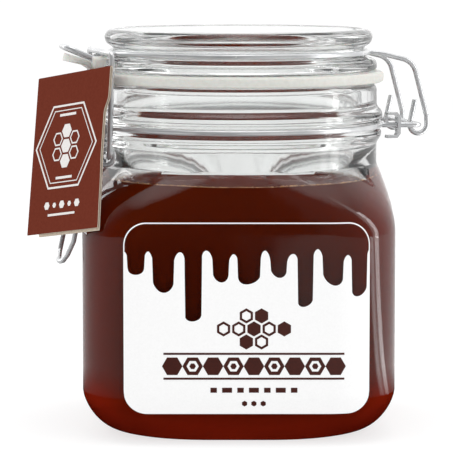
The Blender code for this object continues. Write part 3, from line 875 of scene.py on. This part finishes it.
def oblong(x, y, wide, tall):
    """A bar as a row of short quads, so that it bends with what it lies on."""
    count = max(1, round(wide / 2.0))
    step = wide / count
    low, high = y - tall / 2, y + tall / 2
    edges = [x - wide / 2 + step * k for k in range(count + 1)]
    return [[(a, low), (b, low), (b, high), (a, high)] for a, b in zip(edges, edges[1:])]


# The label's print, in mm: its middle across, the comb's height and pitch, and the heights of the row
# of cells, the bars and the dots
PRINT_MIDDLE = 2.2
COMB_HIGH = 40.5
COMB_PITCH = 5.2
CELLS_HIGH = 27.6
BARS_HIGH = 19.3
DOTS_HIGH = 14.6


def emblem_shapes():
    """A small honeycomb of nine cells: four filled, five drawn as outlines."""
    shapes = []
    turns = [math.radians(60 * k) for k in range(6)]
    spots = [(0.0, 0.0)] + [(math.cos(turn), math.sin(turn)) for turn in turns]
    spots += [(2.0, 0.0), (-2.0, 0.0)]
    for k, (across, up) in enumerate(spots):
        x, y = PRINT_MIDDLE + COMB_PITCH * across, COMB_HIGH + COMB_PITCH * up
        if k in (0, 2, 5, 7):
            shapes.append(hexagon(x, y, 2.6))
        else:
            shapes += frame_of(hexagon(x, y, 2.6), hexagon(x, y, 1.7))
    return shapes


def band_shapes():
    """A bold row of cells between two rules, with a row of bars and a row of dots under it."""
    shapes = []
    for k in range(9):
        x = PRINT_MIDDLE + (k - 4) * 7.0
        if k % 2:
            shapes += frame_of(hexagon(x, CELLS_HIGH, 3.5, 0.0), hexagon(x, CELLS_HIGH, 2.1, 0.0))
            shapes.append(hexagon(x, CELLS_HIGH, 1.1, 0.0))
        else:
            shapes.append(hexagon(x, CELLS_HIGH, 3.5, 0.0))
    for side in (-1, 1):
        shapes += oblong(PRINT_MIDDLE, CELLS_HIGH + side * 4.3, 62.0, 0.7)
    for k in range(7):
        shapes += oblong(PRINT_MIDDLE + (k - 3) * 4.6, BARS_HIGH, 3.4 if k % 2 else 2.2, 1.7)
    for k in range(3):
        shapes.append(hexagon(PRINT_MIDDLE + (k - 1) * 3.2, DOTS_HIGH, 1.0))
    return shapes


def flat_prints(name, made, shapes, place):
    """Thin closed plates for a list of flat outlines."""
    verts = []
    faces = []
    for outline in shapes:
        count = len(outline)
        start = len(verts)
        verts += [place(x, y, 0) for x, y in outline]
        verts += [place(x, y, 1) for x, y in outline]
        faces.append(tuple(start + count + k for k in range(count)))
        faces.append(tuple(start + count - 1 - k for k in range(count)))
        for k in range(count):
            after = (k + 1) % count
            faces.append((start + k, start + after, start + count + after, start + count + k))
    return link(mesh_object(name, verts, faces, 20), made, "label_film")


# Tag

def tag_frame():
    """The tag's own axes: across, out of its front, and up, from its top corner at the clasp."""
    across = clasp(*TAG_ACROSS).normalized()
    down = clasp(*TAG_DOWN)
    down = (down - across * down.dot(across)).normalized()
    front = across.cross(down)
    basis = Matrix((across, front, -down)).transposed().to_4x4()
    return Matrix.Translation(clasp(*TAG_CORNER)) @ basis


def tag_inner_edge(down):
    """How far the inner edge is cut back at a distance down, eased between the places of TAG_EDGE."""
    for (high, first), (low, second) in zip(TAG_EDGE, TAG_EDGE[1:]):
        if down <= low * MM:
            share = (down / MM - high) / (low - high)
            return (first + (second - first) * share * share * (3 - 2 * share)) * MM
    return TAG_EDGE[-1][1] * MM


def build_tag(card, kraft, ink):
    """Folded card: a kraft sheet with a brown printed face, and a pale print on its front."""
    place = tag_frame()
    rows = 70
    columns = 24
    turn_rows = 8
    path = []
    for k in range(rows + 1):
        path.append((0.0, TAG_TALL - (TAG_TALL - TAG_FOLD) * k / rows))
    for k in range(1, turn_rows):
        turn = math.pi * k / turn_rows
        path.append((-TAG_FOLD + TAG_FOLD * math.cos(turn), TAG_FOLD - TAG_FOLD * math.sin(turn)))
    for k in range(rows + 1):
        path.append((-2 * TAG_FOLD, TAG_FOLD + (TAG_TALL + BACK_DROP - TAG_FOLD) * k / rows))

    def sheet_of(name, made, low, high, nodes=()):
        verts = []
        for offset in (low, high):
            for i, (y, d) in enumerate(path):
                before = path[max(i - 1, 0)]
                after = path[min(i + 1, len(path) - 1)]
                run = Vector((after[0] - before[0], after[1] - before[1])).normalized()
                out = Vector((-run.y, run.x))
                left = tag_inner_edge(d)
                low_share = max(0.0, (d - TAPER_FROM) / (TAG_TALL + BACK_DROP - TAPER_FROM))
                right = TAG_WIDE - (BACK_TAPER * low_share if y < -TAG_FOLD else 0.0)
                for c in range(columns + 1):
                    x = left + (right - left) * c / columns
                    verts.append(place @ Vector((x, y + out.x * offset, -(d + out.y * offset))))
        wide = columns + 1
        layer = wide * len(path)
        faces = []
        for j in range(len(path) - 1):
            for i in range(columns):
                a = j * wide + i
                faces.append((a, a + 1, a + wide + 1, a + wide))
                faces.append((layer + a + wide, layer + a + wide + 1, layer + a + 1, layer + a))
        edge = list(range(wide)) + [j * wide + columns for j in range(1, len(path))]
        edge += [(len(path) - 1) * wide + i for i in range(columns - 1, -1, -1)]
        edge += [j * wide for j in range(len(path) - 2, 0, -1)]
        for a, b in zip(edge, edge[1:] + edge[:1]):
            faces.append((b, a, a + layer, b + layer))
        thing = mesh_object(name, verts, faces, 40)
        work = bmesh.new()
        work.from_mesh(thing.data)
        bmesh.ops.recalc_face_normals(work, faces=work.faces)
        work.to_mesh(thing.data)
        work.free()
        return link(thing, made, "brown_card", *nodes)

    sheet_of("tag_card", kraft, -0.5 * TAG_CARD, 0.35 * TAG_CARD, ("tag",))
    sheet_of("tag_print", card, 0.35 * TAG_CARD, 0.5 * TAG_CARD)
    lift = 0.5 * TAG_CARD + 0.03 * MM
    flat_prints("tag_emblem", ink, tag_shapes(),
                lambda x, y, up: place @ Vector((x * MM, lift + 0.05 * MM * up, -y * MM)))


def tag_shapes():
    """A double six-sided frame round a comb of seven cells and two bars, over a row of dots and a bar."""
    shapes = []
    centre = (20.5, 26.0)
    shapes += frame_of(hexagon(*centre, 17.2, 0.0), hexagon(*centre, 16.4, 0.0))
    shapes += frame_of(hexagon(*centre, 15.0, 0.0), hexagon(*centre, 14.6, 0.0))
    for k in range(7):
        turn = math.radians(60 * k + 30)
        out = 5.4 if k < 6 else 0.0
        x, y = centre[0] + out * math.cos(turn), centre[1] + out * math.sin(turn)
        if k in (1, 4, 6):
            shapes.append(hexagon(x, y, 2.7, 0.0))
        else:
            shapes += frame_of(hexagon(x, y, 2.7, 0.0), hexagon(x, y, 2.1, 0.0))
    for side in (-1, 1):
        shapes += oblong(centre[0], centre[1] + side * 11.2, 9.0, 0.9)
    for k in range(5):
        shapes.append(hexagon(centre[0] + (k - 2) * 4.2, 46.8, 1.0 if k % 2 else 1.5, 0.0))
    shapes += oblong(centre[0], 50.2, 15.0, 0.8)
    return shapes


# Studio

def gloss_level(nodes, links, direction, bearings):
    """The brightness for reflections along a direction, from its bearing round the jar."""
    split = nodes.new("ShaderNodeSeparateXYZ")
    links.new(direction, split.inputs["Vector"])
    front = math_node(nodes, links, "MULTIPLY", split.outputs["Y"], -1.0)
    bearing = math_node(nodes, links, "ARCTAN2", split.outputs["X"], front)
    share = math_node(nodes, links, "MULTIPLY_ADD", bearing, 0.5 / math.pi, 0.5)
    scaled = nodes.new("ShaderNodeMath")
    scaled.operation = "MULTIPLY"
    scaled.inputs[1].default_value = GLOSS_TOP
    stops = [((angle + 180.0) / 360.0, (level / GLOSS_TOP,) * 3) for angle, level in bearings]
    colour_ramp(nodes, links, share, stops, scaled.inputs[0])
    return scaled.outputs["Value"]


def reflected(nodes, links):
    """One for light that arrives by reflection in glass or metal, nought for all other light."""
    path = nodes.new("ShaderNodeLightPath")
    return math_node(nodes, links, "MULTIPLY", path.outputs["Is Glossy Ray"],
                     path.outputs["Is Reflection Ray"])


def softbox(name, place, aim, size, power):
    data = bpy.data.lights.new(name, "AREA")
    data.shape = "RECTANGLE"
    data.size, data.size_y = size
    data.energy = power
    light = bpy.data.objects.new(name, data)
    light.location = place
    light.rotation_euler = (Vector(aim) - Vector(place)).to_track_quat("-Z", "Y").to_euler()
    bpy.context.scene.collection.objects.link(light)


def build_floor():
    """A pale floor that partly glows, and that reflections see by bearing and distance."""
    floor_mesh = bpy.data.meshes.new("floor")
    work = bmesh.new()
    bmesh.ops.create_circle(work, cap_ends=True, radius=16.0, segments=96)
    work.to_mesh(floor_mesh)
    work.free()
    floor = bpy.data.objects.new("floor", floor_mesh)
    bpy.context.scene.collection.objects.link(floor)
    made, nodes, links, shader = new_material("pale_floor")
    shader.inputs["Roughness"].default_value = 0.9
    shader.inputs["Specular IOR Level"].default_value = 0.0
    shader.inputs["Emission Color"].default_value = (1.0, 1.0, 1.0, 1.0)
    mirrored = reflected(nodes, links)
    colour_ramp(nodes, links, mirrored, ((0.0, (FLOOR_GREY,) * 3), (1.0, (0.0, 0.0, 0.0))),
                shader.inputs["Base Color"])
    where = nodes.new("ShaderNodeNewGeometry")
    glow = nodes.new("ShaderNodeMix")
    glow.inputs["A"].default_value = FLOOR_GLOW
    links.new(mirrored, glow.inputs["Factor"])
    span = nodes.new("ShaderNodeVectorMath")
    span.operation = "LENGTH"
    links.new(where.outputs["Position"], span.inputs[0])
    away = nodes.new("ShaderNodeMapRange")
    away.inputs["From Min"].default_value, away.inputs["From Max"].default_value = DARK_FLOOR
    links.new(span.outputs["Value"], away.inputs["Value"])
    seen = gloss_level(nodes, links, where.outputs["Position"], FLOOR_BEARINGS)
    links.new(math_node(nodes, links, "MULTIPLY", seen, away.outputs["Result"]), glow.inputs["B"])
    links.new(glow.outputs["Result"], shader.inputs["Emission Strength"])
    floor_mesh.materials.append(made)


def build_lights():
    """Three soft lights in a room that reflections see by bearing."""
    softbox("key_right", (0.86, -0.07, 0.40), (0.0, 0.0, 0.08), (0.11, 0.9), 1.6)
    softbox("fill_left", (-0.62, 0.62, 0.40), (0.0, 0.0, 0.08), (0.25, 0.9), 1.6)
    softbox("top", (0.05, -0.05, 1.2), (0.0, 0.0, 0.1), (0.7, 0.6), 2.5)

    world = bpy.data.worlds.new("studio")
    bpy.context.scene.world = world
    world.use_nodes = True
    nodes, links = world.node_tree.nodes, world.node_tree.links
    path = nodes.new("ShaderNodeLightPath")
    place = nodes.new("ShaderNodeTexCoord")
    walls = gloss_level(nodes, links, place.outputs["Generated"], ROOM_BEARINGS)
    split = nodes.new("ShaderNodeSeparateXYZ")
    links.new(place.outputs["Generated"], split.inputs["Vector"])
    above = nodes.new("ShaderNodeMapRange")
    above.inputs["From Min"].default_value, above.inputs["From Max"].default_value = WALL_TOP
    links.new(split.outputs["Z"], above.inputs["Value"])
    room = nodes.new("ShaderNodeMix")
    links.new(above.outputs["Result"], room.inputs["Factor"])
    links.new(walls, room.inputs["A"])
    room.inputs["B"].default_value = CEILING
    soaked = math_node(nodes, links, "MULTIPLY", path.outputs["Is Transmission Ray"],
                       math_node(nodes, links, "GREATER_THAN", path.outputs["Diffuse Depth"], 0.5))
    lift = math_node(nodes, links, "MULTIPLY_ADD", soaked, THROUGH_GLASS - SKY, SKY)
    level = nodes.new("ShaderNodeMix")
    links.new(reflected(nodes, links), level.inputs["Factor"])
    links.new(lift, level.inputs["A"])
    links.new(room.outputs["Result"], level.inputs["B"])
    links.new(level.outputs["Result"], nodes["Background"].inputs["Strength"])
    nodes["Background"].inputs["Color"].default_value = (1.0, 1.0, 1.0, 1.0)


def build_camera():
    place = Vector((AIM_SIDE, -CAMERA_DISTANCE, CAMERA_HEIGHT))
    aim = Vector((AIM_SIDE, 0.0, AIM_HEIGHT))
    data = bpy.data.cameras.new("camera")
    data.sensor_width = 36.0
    data.lens = 36.0 * (aim - place).length / FRAME_WIDTH
    data.clip_start = 0.01
    data.clip_end = 60.0
    camera = bpy.data.objects.new("camera", data)
    camera.location = place
    camera.rotation_euler = (aim - place).to_track_quat("-Z", "Y").to_euler()
    bpy.context.scene.collection.objects.link(camera)
    bpy.context.scene.camera = camera


def main():
    glass = glass_material()
    steel = steel_material()
    build_camera()
    build_floor()
    build_lights()
    build_jar(glass)
    build_honey(honey_material(), foam_material())
    build_lid(glass)
    build_gasket(rubber_material())
    build_lid_wire(steel)
    build_neck_band(steel)
    build_bail(steel)
    build_lever(steel)
    for name in ("hinge_clip_near", "hinge_clip_far"):
        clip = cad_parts[name]
        clip.data.materials.clear()
        clip.data.materials.append(steel)
    white = print_material("label_white", (0.97, 0.97, 0.97), (0.93, 0.93, 0.93), 0.4)
    ink = print_material("label_ink", (0.078, 0.0075, 0.0012), (0.058, 0.0052, 0.0008), 0.4)
    build_label(white, ink)
    card = card_material("brown_card", (0.142, 0.0225, 0.0095), (0.164, 0.0285, 0.0130))
    kraft = card_material("kraft_card", (0.50, 0.42, 0.33), (0.62, 0.54, 0.44))
    pale = print_material("tag_pale_ink", (0.86, 0.84, 0.82), (0.76, 0.73, 0.70), 0.55)
    build_tag(card, kraft, pale)
    bpy.context.scene.view_settings.view_transform = "Standard"
    bpy.context.scene.view_settings.look = "None"


main()
